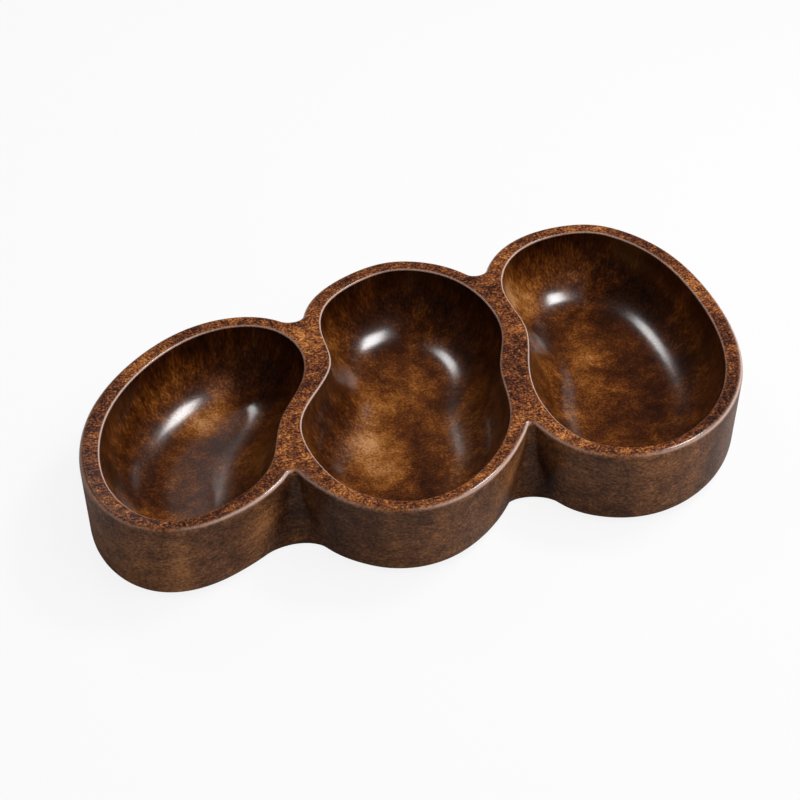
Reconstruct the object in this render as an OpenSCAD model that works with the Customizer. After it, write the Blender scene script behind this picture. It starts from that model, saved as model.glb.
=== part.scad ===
// Divided serving bowl, carved from one block of wood with three hollows side by side.
// Each hollow is an irregular oval. The block swells into a lobe round each of them, and a notch
// pinches it between two lobes, tight at the rim and broad at the base.
// X runs along the block, Y to the back and Z up. The pads stand on z = 0, and the origin lies
// under the middle of the block's length and width.

/* [Block] */
// Height of the wooden block, from its flat base to its rim
block_h = 52; // [46:0.5:62]
// Width of the rim where it faces the front
rim_front_w = 8.75; // [8:0.25:14]
// Width of the rim where it faces the back
rim_back_w = 11.75; // [9:0.25:15]
// Width of the rim where it faces the left end
rim_left_w = 12.25; // [9:0.25:15]
// Width of the rim where it faces the right end
rim_right_w = 11.75; // [9:0.25:15]
// Radius of the rim's outer edge
rim_round = 2.75; // [1:0.25:4]
// Radius of the edge round the base
base_round = 6; // [1:0.25:8]
// Wood left between two neighbouring hollows, measured square to them
partition_w = 15; // [12:0.25:18]
// Run of a front notch along each lobe, at the rim
notch_front_run = 4.5; // [4:0.5:9]
// Run of a back notch along each lobe, at the rim
notch_back_run = 13.5; // [8:0.5:16]
// Run of each notch along each lobe, at the base
notch_base_run = 27; // [20:1:32]
// Extra width of the left lobe's rim beside the front left notch
left_swell = 2.5; // [0:0.25:5]
// Extra width of the middle lobe's rim beside the front left notch
middle_swell = 3.25; // [0:0.25:6]
// Extra width of the two rims beside the front right notch
right_swell = 1.5; // [0:0.25:4]

/* [Left hollow] */
// Length of the left hollow along its long axis
left_len = 188; // [176:1:200]
// Width of the left hollow across its long axis
left_w = 110; // [102:1:118]
// Angle of the left hollow's long axis from the block's length
left_tilt = 49.5; // [46.5:0.5:52.5]
// Set-back of the left hollow's middle from the middle hollow's
left_back = 9; // [5:0.5:13]
// Lean of the left lobe's outer wall, from the rim in to the base
left_lean = 2; // [0:0.5:8]

/* [Middle hollow] */
// Length of the middle hollow along its long axis
middle_len = 230; // [218:1:242]
// Width of the middle hollow across its long axis
middle_w = 122.5; // [115:0.5:130]
// Angle of the middle hollow's long axis from the block's length
middle_tilt = 67; // [64:0.5:70]
// Lean of the middle lobe's outer wall, from the rim in to the base
middle_lean = 5.5; // [0:0.5:8]

/* [Right hollow] */
// Length of the right hollow along its long axis
right_len = 227; // [215:1:239]
// Width of the right hollow across its long axis
right_w = 124.5; // [117:0.5:132]
// Angle of the right hollow's long axis from the block's length
right_tilt = 77.5; // [74.5:0.5:80.5]
// Set-back of the right hollow's middle from the middle hollow's
right_back = -4; // [-8:0.5:0]
// Lean of the right lobe's outer wall, from the rim in to the base
right_lean = 2; // [0:0.5:8]

/* [Section of a hollow] */
// Depth of each hollow at its middle
hollow_depth = 41; // [37:0.5:43]
// Radius between the wall and the floor
floor_round = 38; // [26:0.5:40]
// Radius of the edge between the rim and the wall
edge_round = 1.5; // [0.5:0.25:2.5]
// Lean of the wall from upright
wall_tilt = 8; // [5:1:16]
// Slope of the dished floor where it meets the radius
floor_tilt = 3; // [1:1:8]

/* [Pads] */
// Diameter of a pad under the base
pad_d = 16; // [10:0.5:24]
// Height of a pad
pad_h = 2; // [1:0.25:4]
// Bevel round a pad's lower edge
pad_bevel = 0.4; // [0.1:0.1:0.8]

/* [Hidden] */

// Places round the edge of each hollow, counterclockwise from its back tip. The first number is a
// share of half the length, the second a share of half the width, to the hollow's left.
left_edge_shares = [
    [1.00, 0.00], [0.84, 0.54], [0.50, 0.87], [0.07, 1.00], [-0.36, 0.90], [-0.75, 0.55],
    [-0.97, 0.05], [-0.96, -0.45], [-0.70, -0.84], [-0.31, -1.00], [0.10, -0.825],
    [0.52, -0.785], [0.86, -0.53]
];
middle_edge_shares = [
    [1.00, 0.08], [0.925, 0.45], [0.68, 0.85], [0.38, 0.895], [0.11, 0.775], [-0.17, 0.905],
    [-0.47, 0.995], [-0.80, 0.71], [-0.97, 0.32], [-1.00, -0.10], [-0.89, -0.51],
    [-0.62, -0.86], [-0.27, -1.00], [0.09, -0.915], [0.43, -0.935], [0.76, -0.70], [0.95, -0.32]
];
right_edge_shares = [
    [1.00, 0.00], [0.94, 0.46], [0.75, 0.83], [0.45, 0.97], [0.12, 0.88], [-0.20, 0.965],
    [-0.52, 0.995], [-0.83, 0.81], [-0.98, 0.46], [-0.99, 0.00], [-0.82, -0.50],
    [-0.50, -0.865], [-0.11, -1.00], [0.30, -0.945], [0.68, -0.735], [0.93, -0.37]
];
// How closely each pair of hollows nests, as a share of what two plain ovals would need
left_nest_share = 0.79;
right_nest_share = 0.944;
// Place of a pad along its hollow's long axis, as a share of half the length
pad_place_share = 0.55;

// Places along the left and right lobes, counted in edge points, where their outer ends lie
left_tip = 4;
right_tip = 12.5;
// Places near which two lobes cross, counted in edge points along the first and the second lobe
front_left_guess = [9.2, 6.5];
front_right_guess = [12, 6.3];
back_right_guess = [18.7, 15.2];
back_left_guess = [19.9, 12.4];
// Reach of the extra rim width beside a front notch, counted in edge points, at the base and the rim
left_swell_reach = [1.2, 3];
middle_swell_reach = [1.6, 1];
right_swell_reach = [0.8, 0.8];

// Steps along half an end lobe, along a side of the middle lobe, round a notch, and round a hollow
end_steps = 22;
side_steps = 20;
notch_steps = 9;
edge_steps = 72;
// Steps round the outer edges, up the outer wall, round the floor radius and across the floor
round_steps = 4;
wall_steps = 4;
floor_round_steps = 9;
floor_steps = 2;
// Angle from level at which the edge of a hollow starts, so that its cut leaves the rim cleanly
edge_start = 22;
// Overrun of the cuts past the rim
overrun = 0.6;
// Pull of a notch's ends, as a share of the distance between them
notch_pull_share = 1.15;
// Facets round a pad
pad_facets = 48;

function mix(a, b, share) = a + (b - a) * share;
function total(v) = [for (x = v) 1] * v;
function along(angle) = [cos(angle), sin(angle)];
function left_of(v) = [-v.y, v.x];
function unit(v) = v / norm(v);

// A closed curve runs through its points with an even bend. Its direction at a point follows the
// points round it, each one counting less than its neighbour by next_share.
next_share = 2 - sqrt(3);
far_points = 6;
function bend_weight(k) = sqrt(3) / 2 * pow(-next_share, abs(k));
function point_slope(p, i) =
    let (n = len(p))
    total([
        for (k = [-far_points : far_points])
            bend_weight(k) * (p[(i + k + 1 + n) % n] - p[(i + k - 1 + n) % n])
    ]);

// A hollow is its middle, its edge points, the slopes there, its lobe's lean, and where its rim
// swells: the place, the extra width and the reach of each swell.
function hollow(middle, size, tilt, shares, lean, swells) =
    let (
        axis = along(tilt),
        points = [for (s = shares) middle + axis * s.x * size.x / 2 + left_of(axis) * s.y * size.y / 2]
    )
    [middle, points, [for (i = [0 : len(points) - 1]) point_slope(points, i)], lean, swells];

function edge_point(h, t) =
    let (n = len(h[1]), u = t - floor(t), i = floor(t) % n, j = (i + 1) % n)
    h[1][i] * (2 * u ^ 3 - 3 * u ^ 2 + 1) + h[2][i] * (u ^ 3 - 2 * u ^ 2 + u)
        + h[1][j] * (3 * u ^ 2 - 2 * u ^ 3) + h[2][j] * (u ^ 3 - u ^ 2);
function edge_slope(h, t) =
    let (n = len(h[1]), u = t - floor(t), i = floor(t) % n, j = (i + 1) % n)
    (h[1][j] - h[1][i]) * (6 * u - 6 * u ^ 2) + h[2][i] * (3 * u ^ 2 - 4 * u + 1)
        + h[2][j] * (3 * u ^ 2 - 2 * u);
function outward(h, t) = -left_of(unit(edge_slope(h, t)));

// Width of the rim for the way it faces
function rim_w(facing) =
    (facing.x > 0 ? rim_right_w : rim_left_w) * facing.x ^ 2
        + (facing.y > 0 ? rim_back_w : rim_front_w) * facing.y ^ 2;

// Extra width of a hollow's rim at a place, at a level from 0 at the base to 1 at the rim
function bump(share) = share < 1 ? cos(90 * share) ^ 2 : 0;
function swell(h, t, level) =
    total([for (s = h[4]) s[1] * bump(abs(t - s[0]) / mix(s[2][0], s[2][1], level))]);

// A point of a lobe's outer wall at a level, drawn in by inset, and the way that the wall runs there
function lobe_point(h, t, level, inset) =
    let (facing = outward(h, t))
    edge_point(h, t) + facing * (rim_w(facing) + swell(h, t, level) - h[3] * (1 - level) - inset);
way_step = 0.01;
function lobe_way(h, t, level) =
    unit(lobe_point(h, t + way_step, level, 0) - lobe_point(h, t - way_step, level, 0));

// Half the length of a level line across a hollow, through its middle, if it were a plain oval
function half_reach(w, tilt) = w / 2 / sin(tilt);
function spacing(w, tilt, share) =
    (half_reach(w, tilt) + half_reach(middle_w, middle_tilt)) * share
        + partition_w / sin((tilt + middle_tilt) / 2);

left = hollow(
    [-spacing(left_w, left_tilt, left_nest_share), left_back],
    [left_len, left_w], left_tilt, left_edge_shares, left_lean,
    [[front_left_guess[0], left_swell, left_swell_reach]]
);
middle = hollow(
    [0, 0], [middle_len, middle_w], middle_tilt, middle_edge_shares, middle_lean,
    [
        [front_left_guess[1], middle_swell, middle_swell_reach],
        [front_right_guess[0], right_swell, right_swell_reach]
    ]
);
right = hollow(
    [spacing(right_w, right_tilt, right_nest_share), right_back],
    [right_len, right_w], right_tilt, right_edge_shares, right_lean,
    [[front_right_guess[1], right_swell, right_swell_reach]]
);

// The places along two lobes where their rims cross, found by steps along both their slopes
crossing_steps = 10;
longest_step = 0.4;
function limited(step) = max(-longest_step, min(longest_step, step));
function crossing(a, b, at, steps) =
    steps == 0 ? at :
    let (
        gap = lobe_point(b, at[1], 1, 0) - lobe_point(a, at[0], 1, 0),
        a_slope = edge_slope(a, at[0]),
        b_slope = edge_slope(b, at[1]),
        turn = cross(a_slope, b_slope)
    )
    crossing(a, b, at + [limited(cross(gap, b_slope) / turn), limited(cross(gap, a_slope) / turn)],
        steps - 1);
front_left = crossing(left, middle, front_left_guess, crossing_steps);
front_right = crossing(middle, right, front_right_guess, crossing_steps);
back_right = crossing(right, middle, back_right_guess, crossing_steps);
back_left = crossing(middle, left, back_left_guess, crossing_steps);

function span(h, from, to, steps, level, inset) =
    [for (i = [0 : steps - 1]) lobe_point(h, mix(from, to, (i + 0.5) / steps), level, inset)];

// A notch leaves the first lobe and joins the second the way that their walls run.
function notch(a, b, from, to, level, inset) =
    let (
        start = lobe_point(a, from, level, inset),
        end = lobe_point(b, to, level, inset),
        pull = notch_pull_share * norm(end - start),
        start_pull = lobe_way(a, from, level) * pull,
        end_pull = lobe_way(b, to, level) * pull
    )
    [
        for (i = [0 : notch_steps])
            let (u = i / notch_steps)
            start * (2 * u ^ 3 - 3 * u ^ 2 + 1) + start_pull * (u ^ 3 - 2 * u ^ 2 + u)
                + end * (3 * u ^ 2 - 2 * u ^ 3) + end_pull * (u ^ 3 - u ^ 2)
    ];
function before(h, t, run) = t - run / norm(edge_slope(h, t));
function after(h, t, run) = t + run / norm(edge_slope(h, t));

// The block's outline, counterclockwise from the tip of the left lobe. Its front half and its back
// half have equally many points. The notches tighten fast above the base, and then slowly.
function outline(level, inset) =
    let (
        climb = sqrt(level),
        front_run = mix(notch_base_run, notch_front_run, climb),
        back_run = mix(notch_base_run, notch_back_run, climb),
        left_out = before(left, front_left[0], front_run),
        middle_front_in = after(middle, front_left[1], front_run),
        middle_front_out = before(middle, front_right[0], front_run),
        right_in = after(right, front_right[1], front_run),
        right_out = before(right, back_right[0], back_run),
        middle_back_in = after(middle, back_right[1], back_run),
        middle_back_out = before(middle, back_left[0], back_run),
        left_in = after(left, back_left[1], back_run)
    )
    concat(
        span(left, left_tip, left_out, end_steps, level, inset),
        notch(left, middle, left_out, middle_front_in, level, inset),
        span(middle, middle_front_in, middle_front_out, side_steps, level, inset),
        notch(middle, right, middle_front_out, right_in, level, inset),
        span(right, right_in, right_tip, end_steps, level, inset),
        span(right, right_tip, right_out, end_steps, level, inset),
        notch(right, middle, right_out, middle_back_in, level, inset),
        span(middle, middle_back_in, middle_back_out, side_steps, level, inset),
        notch(middle, left, middle_back_out, left_in, level, inset),
        span(left, left_in, left_tip + len(left[1]), end_steps, level, inset)
    );

function raised(points, z) = [for (p = points) [p.x, p.y, z]];

// Heights and insets of the outer wall's rings, from the flat base up to the flat rim
outer_section = concat(
    [
        for (i = [0 : round_steps])
            let (a = 90 * i / round_steps)
            [base_round * (1 - cos(a)), base_round * (1 - sin(a))]
    ],
    [for (i = [1 : wall_steps - 1]) [mix(base_round, block_h - rim_round, i / wall_steps), 0]],
    [
        for (i = [0 : round_steps])
            let (a = 90 * i / round_steps)
            [block_h - rim_round * (1 - sin(a)), rim_round * (1 - cos(a))]
    ]
);
outer_rings = [for (s = outer_section) raised(outline(s[0] / block_h, s[1]), s[0])];

// A hollow's wall starts at a rounded edge. Insets come first here, depths second.
edge_end = [edge_round * (cos(wall_tilt) - 1), edge_round * (1 - sin(wall_tilt))];
edge_begin = [edge_round * (sin(edge_start) - 1), edge_round * (1 - cos(edge_start))];

// Over a floor without any rise, the wall would have its foot at this depth, and the floor would
// start at this inset. The floor's run and slope give its true rise, which lifts the foot.
deep_foot_y = hollow_depth - floor_round * (cos(floor_tilt) - sin(wall_tilt));
floor_inset = edge_end.x + (deep_foot_y - edge_end.y) * tan(wall_tilt)
    + floor_round * (cos(wall_tilt) - sin(floor_tilt));
function floor_rise(h, t) = (norm(edge_point(h, t) - h[0]) - floor_inset) * tan(floor_tilt) / 2;

// Down a hollow's wall: its rounded edge, its leaning wall and the floor radius
function hollow_section(rise) =
    let (
        foot_y = deep_foot_y - rise,
        foot = [edge_end.x + (foot_y - edge_end.y) * tan(wall_tilt), foot_y],
        hub = foot + floor_round * [cos(wall_tilt), -sin(wall_tilt)]
    )
    concat(
        [edge_begin - [1 / tan(edge_start), 1] * (edge_begin.y + overrun)],
        [
            for (i = [0 : round_steps - 1])
                let (a = mix(edge_start, 90 - wall_tilt, i / (round_steps - 1)))
                [edge_round * (sin(a) - 1), edge_round * (1 - cos(a))]
        ],
        [
            for (i = [0 : floor_round_steps])
                let (a = mix(wall_tilt, 90 - floor_tilt, i / floor_round_steps))
                hub + floor_round * [-cos(a), sin(a)]
        ]
    );
function hollow_middle(h) = [h[0].x, h[0].y, block_h - hollow_depth];
function wall_rings(h) =
    let (
        places = [for (i = [0 : edge_steps - 1]) i * len(h[1]) / edge_steps],
        sections = [for (t = places) hollow_section(floor_rise(h, t))]
    )
    [
        for (k = [0 : len(sections[0]) - 1])
            [
                for (i = [0 : edge_steps - 1])
                    let (p = edge_point(h, places[i]) - outward(h, places[i]) * sections[i][k].x)
                    [p.x, p.y, block_h - sections[i][k].y]
            ]
    ];
function floor_ring(ring, middle, share) =
    [for (p = ring) let (q = mix(middle, p, share)) [q.x, q.y, mix(middle.z, p.z, share ^ 2)]];
function hollow_rings(h) =
    let (walls = wall_rings(h))
    concat(
        walls,
        [
            for (i = [floor_steps : -1 : 1])
                floor_ring(walls[len(walls) - 1], hollow_middle(h), i / (floor_steps + 1))
        ]
    );

// Triangles between rings of n points. Each ring lies above the one before it.
function wall_faces(rings, n) = [
    for (r = [0 : rings - 2], i = [0 : n - 1])
        let (a = r * n + i, b = r * n + (i + 1) % n)
        each [[a, a + n, b], [b, a + n, b + n]]
];

// The flat top and base join the front half of the outline to its back half, like a ladder.
module block() {
    n = len(outer_rings[0]);
    last = (len(outer_rings) - 1) * n;
    low_rungs = [for (i = [0 : n / 2 - 2]) [i, i + 1, n - 2 - i, n - 1 - i]];
    high_rungs = [for (r = low_rungs) r + last * [1, 1, 1, 1]];
    polyhedron(
        [for (ring = outer_rings) each ring],
        concat(
            wall_faces(len(outer_rings), n),
            [for (r = low_rungs) each [[r[0], r[1], r[3]], [r[1], r[2], r[3]]]],
            [for (r = high_rungs) each [[r[0], r[3], r[1]], [r[1], r[3], r[2]]]]
        )
    );
}

// What is carved out of a hollow, closed at the middle of its floor and above the rim
module carving(h) {
    rings = hollow_rings(h);
    count = len(rings);
    top = count * edge_steps;
    polyhedron(
        concat(
            [for (ring = rings) each ring],
            [[h[0].x, h[0].y, block_h + overrun], hollow_middle(h)]
        ),
        concat(
            [for (f = wall_faces(count, edge_steps)) [f[0], f[2], f[1]]],
            [for (i = [0 : edge_steps - 1]) [i, top, (i + 1) % edge_steps]],
            [
                for (i = [0 : edge_steps - 1])
                    let (base = (count - 1) * edge_steps)
                    [base + i, base + (i + 1) % edge_steps, top + 1]
            ]
        )
    );
}

outline_points = [for (ring = outer_rings) each ring];
low_corner = [min([for (p = outline_points) p.x]), min([for (p = outline_points) p.y])];
high_corner = [max([for (p = outline_points) p.x]), max([for (p = outline_points) p.y])];
origin_shift = -(low_corner + high_corner) / 2;

module bowl_body() {
    color("#5a3018")
    translate([origin_shift.x, origin_shift.y, pad_h])
    difference() {
        block();
        for (h = [left, middle, right]) carving(h);
    }
}

// A round pad stuck under the base, on the long axis of its hollow. Side is 1 to the back, -1 to
// the front.
module foot_pad(h, length, tilt, side) {
    place = origin_shift + h[0] + along(tilt) * side * pad_place_share * length / 2;
    color("#2b2522")
    translate([place.x, place.y, 0])
    rotate_extrude($fn = pad_facets)
    polygon([
        [0, 0], [pad_d / 2 - pad_bevel, 0], [pad_d / 2, pad_bevel], [pad_d / 2, pad_h], [0, pad_h]
    ]);
}

bowl_body();
foot_pad(left, left_len, left_tilt, -1);  // pad_left_front
foot_pad(left, left_len, left_tilt, 1);  // pad_left_back
foot_pad(middle, middle_len, middle_tilt, -1);  // pad_middle_front
foot_pad(middle, middle_len, middle_tilt, 1);  // pad_middle_back
foot_pad(right, right_len, right_tilt, -1);  // pad_right_front
foot_pad(right, right_len, right_tilt, 1);  // pad_right_back
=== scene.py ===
"""The divided serving bowl's visual model: one carved, stained and lacquered block on rubber pads.

Lengths are in metres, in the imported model's own frame. Plan points are two-dimensional, seen from
above, and Z is added when a mesh is made.
"""

from __future__ import annotations

import logging
import math
from dataclasses import dataclass, field
from enum import Enum
from typing import Any, Union

import bpy
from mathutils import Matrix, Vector


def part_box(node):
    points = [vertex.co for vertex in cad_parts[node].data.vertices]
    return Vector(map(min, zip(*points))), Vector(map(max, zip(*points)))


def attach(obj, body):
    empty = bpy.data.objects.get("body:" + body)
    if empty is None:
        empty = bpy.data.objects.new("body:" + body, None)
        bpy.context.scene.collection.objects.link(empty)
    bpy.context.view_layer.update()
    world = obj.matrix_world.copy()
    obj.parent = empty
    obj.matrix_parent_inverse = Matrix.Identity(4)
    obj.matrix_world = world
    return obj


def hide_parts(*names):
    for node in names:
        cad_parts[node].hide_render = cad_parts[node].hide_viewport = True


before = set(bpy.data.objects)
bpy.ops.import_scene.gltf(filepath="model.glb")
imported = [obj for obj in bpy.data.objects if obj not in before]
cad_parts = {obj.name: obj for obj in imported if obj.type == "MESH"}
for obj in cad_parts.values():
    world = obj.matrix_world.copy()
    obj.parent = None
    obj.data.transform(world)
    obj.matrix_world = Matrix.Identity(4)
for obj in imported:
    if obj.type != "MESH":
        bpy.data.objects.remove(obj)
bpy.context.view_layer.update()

MM = 0.001

log = logging.getLogger("serving_bowl")

Shares = tuple[tuple[float, float], ...]
Triple = tuple[float, float, float]
Stops = tuple[tuple[float, Triple], ...]
Number = Union[int, float, "Value"]
Socket = bpy.types.NodeSocket


class Value:
    """A number inside a node tree. Arithmetic on it adds Math nodes."""

    def __init__(self, tree: Tree, socket: Socket) -> None:
        """Wraps the output socket that carries the number in its tree."""
        self.tree = tree
        self.socket = socket

    def math(self, operation: str, *others: Number) -> Value:
        """Returns what a Math node makes of self and the other operands."""
        return self.tree.math(operation, self, *others)

    def __add__(self, other: Number) -> Value:
        """Returns self + other."""
        return self.math("ADD", other)

    def __sub__(self, other: Number) -> Value:
        """Returns self - other."""
        return self.math("SUBTRACT", other)

    def __rsub__(self, other: Number) -> Value:
        """Returns other - self."""
        return self.tree.math("SUBTRACT", other, self)

    def __mul__(self, other: Number) -> Value:
        """Returns self * other."""
        return self.math("MULTIPLY", other)

    def __truediv__(self, other: Number) -> Value:
        """Returns self / other."""
        return self.math("DIVIDE", other)

    def __mod__(self, other: Number) -> Value:
        """Returns the remainder of self / other."""
        return self.math("MODULO", other)

    def clamped(self) -> Value:
        """Returns self, held between 0 and 1."""
        return self.math("MAXIMUM", 0.0).math("MINIMUM", 1.0)

    __radd__ = __add__
    __rmul__ = __mul__


class Tree:
    """Adds nodes to one node tree, for a shader or for geometry."""

    def __init__(self, nodes: bpy.types.NodeTree) -> None:
        """Wraps the node tree to add to."""
        self.nodes = nodes

    def add(
        self,
        kind: str,
        settings: dict[str, Any] | None = None,
        inputs: dict[int | str, Any] | None = None,
    ) -> bpy.types.Node:
        """Adds a node, sets it up and links it.

        Args:
            kind: The node's type.
            settings: Its properties. The key "stops" gives a colour ramp's stops.
            inputs: A value, a socket or a Value for each input socket, by name or place.

        Returns:
            The new node.
        """
        node = self.nodes.nodes.new(kind)
        for name, setting in (settings or {}).items():
            if name == "stops":
                self._set_stops(node.color_ramp, setting)
            else:
                setattr(node, name, setting)
        for key, given in (inputs or {}).items():
            self.feed(node.inputs[key], given)
        return node

    def feed(self, socket: Socket, given: Any) -> None:
        """Links a socket, or sets its value.

        Args:
            socket: The input socket.
            given: A Value, an output socket, or a plain value.
        """
        if isinstance(given, Value):
            given = given.socket
        if isinstance(given, Socket):
            self.nodes.links.new(given, socket)
        else:
            socket.default_value = given

    def math(self, operation: str, *operands: Number) -> Value:
        """Returns what a Math node makes of its operands, in order."""
        node = self.add("ShaderNodeMath", {"operation": operation}, dict(enumerate(operands)))
        return Value(self, node.outputs[0])

    def summed(self, first: Any, second: Any) -> Socket:
        """Returns the sum of two vectors."""
        return self._vector("ADD", {0: first, 1: second}).outputs[0]

    def stretched(self, vector: Any, shares: Triple) -> Socket:
        """Returns a vector multiplied by a share along each axis."""
        return self._vector("MULTIPLY", {0: vector, 1: shares}).outputs[0]

    def scaled(self, vector: Any, factor: Number) -> Socket:
        """Returns a vector times a number."""
        return self._vector("SCALE", {0: vector, "Scale": factor}).outputs[0]

    def along(self, vector: Any, side: Triple) -> Value:
        """Returns how far a vector runs towards a side, times that side's length."""
        return Value(self, self._vector("DOT_PRODUCT", {0: vector, 1: side}).outputs["Value"])

    def distance(self, first: Any, second: Any) -> Value:
        """Returns how far two points lie apart."""
        return Value(self, self._vector("DISTANCE", {0: first, 1: second}).outputs["Value"])

    def mixed(self, share: Number, first: Any, second: Any) -> Socket:
        """Mixes two colours.

        Args:
            share: The second colour's share.
            first: The first colour, a socket or its red, green and blue.
            second: The second colour.

        Returns:
            The mixed colour.
        """
        ends = [(*end, 1.0) if isinstance(end, tuple) else end for end in (first, second)]
        inputs = {0: share, 6: ends[0], 7: ends[1]}
        return self.add("ShaderNodeMix", {"data_type": "RGBA"}, inputs).outputs[2]

    def bump(self, strength: float, depth: float, height: Value) -> Socket:
        """Returns the surface's direction with a relief of a strength and a depth in it."""
        inputs = {"Strength": strength, "Distance": depth, "Height": height}
        return self.add("ShaderNodeBump", inputs=inputs).outputs[0]

    def _vector(self, operation: str, inputs: dict[int | str, Any]) -> bpy.types.Node:
        """Adds one Vector Math node."""
        return self.add("ShaderNodeVectorMath", {"operation": operation}, inputs)

    @staticmethod
    def _set_stops(ramp: bpy.types.ColorRamp, stops: Stops) -> None:
        """Gives a colour ramp its stops.

        Args:
            ramp: The ramp.
            stops: Each stop's place and colour.
        """
        while len(ramp.elements) < len(stops):
            ramp.elements.new(1.0)
        for element, (place, colour) in zip(ramp.elements, stops):
            element.position = place
            element.color = (*colour, 1.0)


@dataclass(frozen=True)
class ClosedCurve:
    """A closed plan curve with an even bend through its points, run counterclockwise."""

    points: tuple[Vector, ...]
    slopes: tuple[Vector, ...]

    @classmethod
    def through(cls, points: list[Vector]) -> ClosedCurve:
        """Lays a curve through points.

        Args:
            points: The points, counterclockwise.

        Returns:
            The curve. Its direction at a point follows the points round it, and each one counts
            less than its neighbour by a fixed share.
        """
        next_share = 2 - math.sqrt(3)
        far_points = 6
        count = len(points)
        slopes = []
        for i in range(count):
            slope = Vector((0.0, 0.0))
            for k in range(-far_points, far_points + 1):
                weight = math.sqrt(3) / 2 * (-next_share) ** abs(k)
                slope += weight * (points[(i + k + 1) % count] - points[(i + k - 1) % count])
            slopes.append(slope)
        return cls(tuple(points), tuple(slopes))

    def _parts(self, t: float) -> tuple[int, int, float]:
        """Returns the points on both sides of t and the share between them."""
        whole = math.floor(t)
        return whole % len(self.points), (whole + 1) % len(self.points), t - whole

    def at(self, t: float) -> Vector:
        """Returns the curve's point at t, counted in points."""
        i, j, u = self._parts(t)
        return hermite(self.points[i], self.slopes[i], self.points[j], self.slopes[j], u)

    def slope(self, t: float) -> Vector:
        """Returns the curve's slope at t."""
        i, j, u = self._parts(t)
        return (
            (self.points[j] - self.points[i]) * (6 * u - 6 * u**2)
            + self.slopes[i] * (3 * u**2 - 4 * u + 1)
            + self.slopes[j] * (3 * u**2 - 2 * u)
        )

    def outward(self, t: float) -> Vector:
        """Returns the unit vector square to the curve at t, pointing out."""
        slope = self.slope(t).normalized()
        return Vector((slope.y, -slope.x))


def hermite(start: Vector, start_slope: Vector, end: Vector, end_slope: Vector, u: float) -> Vector:
    """Returns the point at u, from 0 to 1, of the blend from a start to an end."""
    return (
        start * (2 * u**3 - 3 * u**2 + 1)
        + start_slope * (u**3 - 2 * u**2 + u)
        + end * (3 * u**2 - 2 * u**3)
        + end_slope * (u**3 - u**2)
    )


@dataclass(frozen=True)
class Swell:
    """A place beside a notch where a lobe's rim is wider.

    The place, and its reach to either side, are counted in points of the hollow's edge.
    """

    place: float
    width: float
    base_reach: float
    rim_reach: float

    def at(self, t: float, level: float) -> float:
        """Works out the extra width.

        Args:
            t: The place along the hollow's edge.
            level: From 0 at the base to 1 at the rim.

        Returns:
            The extra width.
        """
        reach = self.base_reach + (self.rim_reach - self.base_reach) * level
        share = min(1.0, abs(t - self.place) / reach)
        return self.width * math.cos(math.pi / 2 * share) ** 2


@dataclass(frozen=True)
class HollowShape:
    """A hollow's own sizes.

    Tilt is its long axis's angle from X in degrees, and lean how far its lobe's outer wall comes in
    at the base. The shares place its edge along and across its half length and half width.
    """

    length: float
    width: float
    tilt: float
    lean: float
    swells: tuple[Swell, ...]
    shares: Shares


LEFT_SHAPE = HollowShape(
    length=188 * MM,
    width=110 * MM,
    tilt=49.5,
    lean=2 * MM,
    swells=(Swell(9.2, 2.5 * MM, 1.2, 3.0),),
    shares=(
        (1.00, 0.00), (0.84, 0.54), (0.50, 0.87), (0.07, 1.00), (-0.36, 0.90), (-0.75, 0.55),
        (-0.97, 0.05), (-0.96, -0.45), (-0.70, -0.84), (-0.31, -1.00), (0.10, -0.825),
        (0.52, -0.785), (0.86, -0.53),
    ),
)
MIDDLE_SHAPE = HollowShape(
    length=230 * MM,
    width=122.5 * MM,
    tilt=67.0,
    lean=5.5 * MM,
    swells=(Swell(6.5, 3.25 * MM, 1.6, 1.0), Swell(12.0, 1.5 * MM, 0.8, 0.8)),
    shares=(
        (1.00, 0.08), (0.925, 0.45), (0.68, 0.85), (0.38, 0.895), (0.11, 0.775), (-0.17, 0.905),
        (-0.47, 0.995), (-0.80, 0.71), (-0.97, 0.32), (-1.00, -0.10), (-0.89, -0.51),
        (-0.62, -0.86), (-0.27, -1.00), (0.09, -0.915), (0.43, -0.935), (0.76, -0.70),
        (0.95, -0.32),
    ),
)
RIGHT_SHAPE = HollowShape(
    length=227 * MM,
    width=124.5 * MM,
    tilt=77.5,
    lean=2 * MM,
    swells=(Swell(6.3, 1.5 * MM, 0.8, 0.8),),
    shares=(
        (1.00, 0.00), (0.94, 0.46), (0.75, 0.83), (0.45, 0.97), (0.12, 0.88), (-0.20, 0.965),
        (-0.52, 0.995), (-0.83, 0.81), (-0.98, 0.46), (-0.99, 0.00), (-0.82, -0.50),
        (-0.50, -0.865), (-0.11, -1.00), (0.30, -0.945), (0.68, -0.735), (0.93, -0.37),
    ),
)


@dataclass
class Hollow:
    """One hollow's plan and the lobe of the block round it."""

    name: str
    middle: Vector
    shape: HollowShape
    curve: ClosedCurve = field(init=False)

    def __post_init__(self) -> None:
        """Lays the edge curve through the places that the shares give."""
        shape = self.shape
        tilt = math.radians(shape.tilt)
        axis = Vector((math.cos(tilt), math.sin(tilt)))
        across = Vector((-axis.y, axis.x))
        self.curve = ClosedCurve.through([
            self.middle + axis * s * shape.length / 2 + across * w * shape.width / 2
            for s, w in shape.shares
        ])

    def before(self, t: float, run: float) -> float:
        """Returns the place a run before t."""
        return t - run / self.curve.slope(t).length

    def after(self, t: float, run: float) -> float:
        """Returns the place a run after t."""
        return t + run / self.curve.slope(t).length


@dataclass
class Notch:
    """The notch between two lobes.

    T and s are the places on the two lobes where they cross at the rim, counted in points of
    their hollows' edges. The rim run is how far from there the notch starts and ends.
    """

    leaving: Hollow
    joining: Hollow
    t: float
    s: float
    rim_run: float


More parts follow.
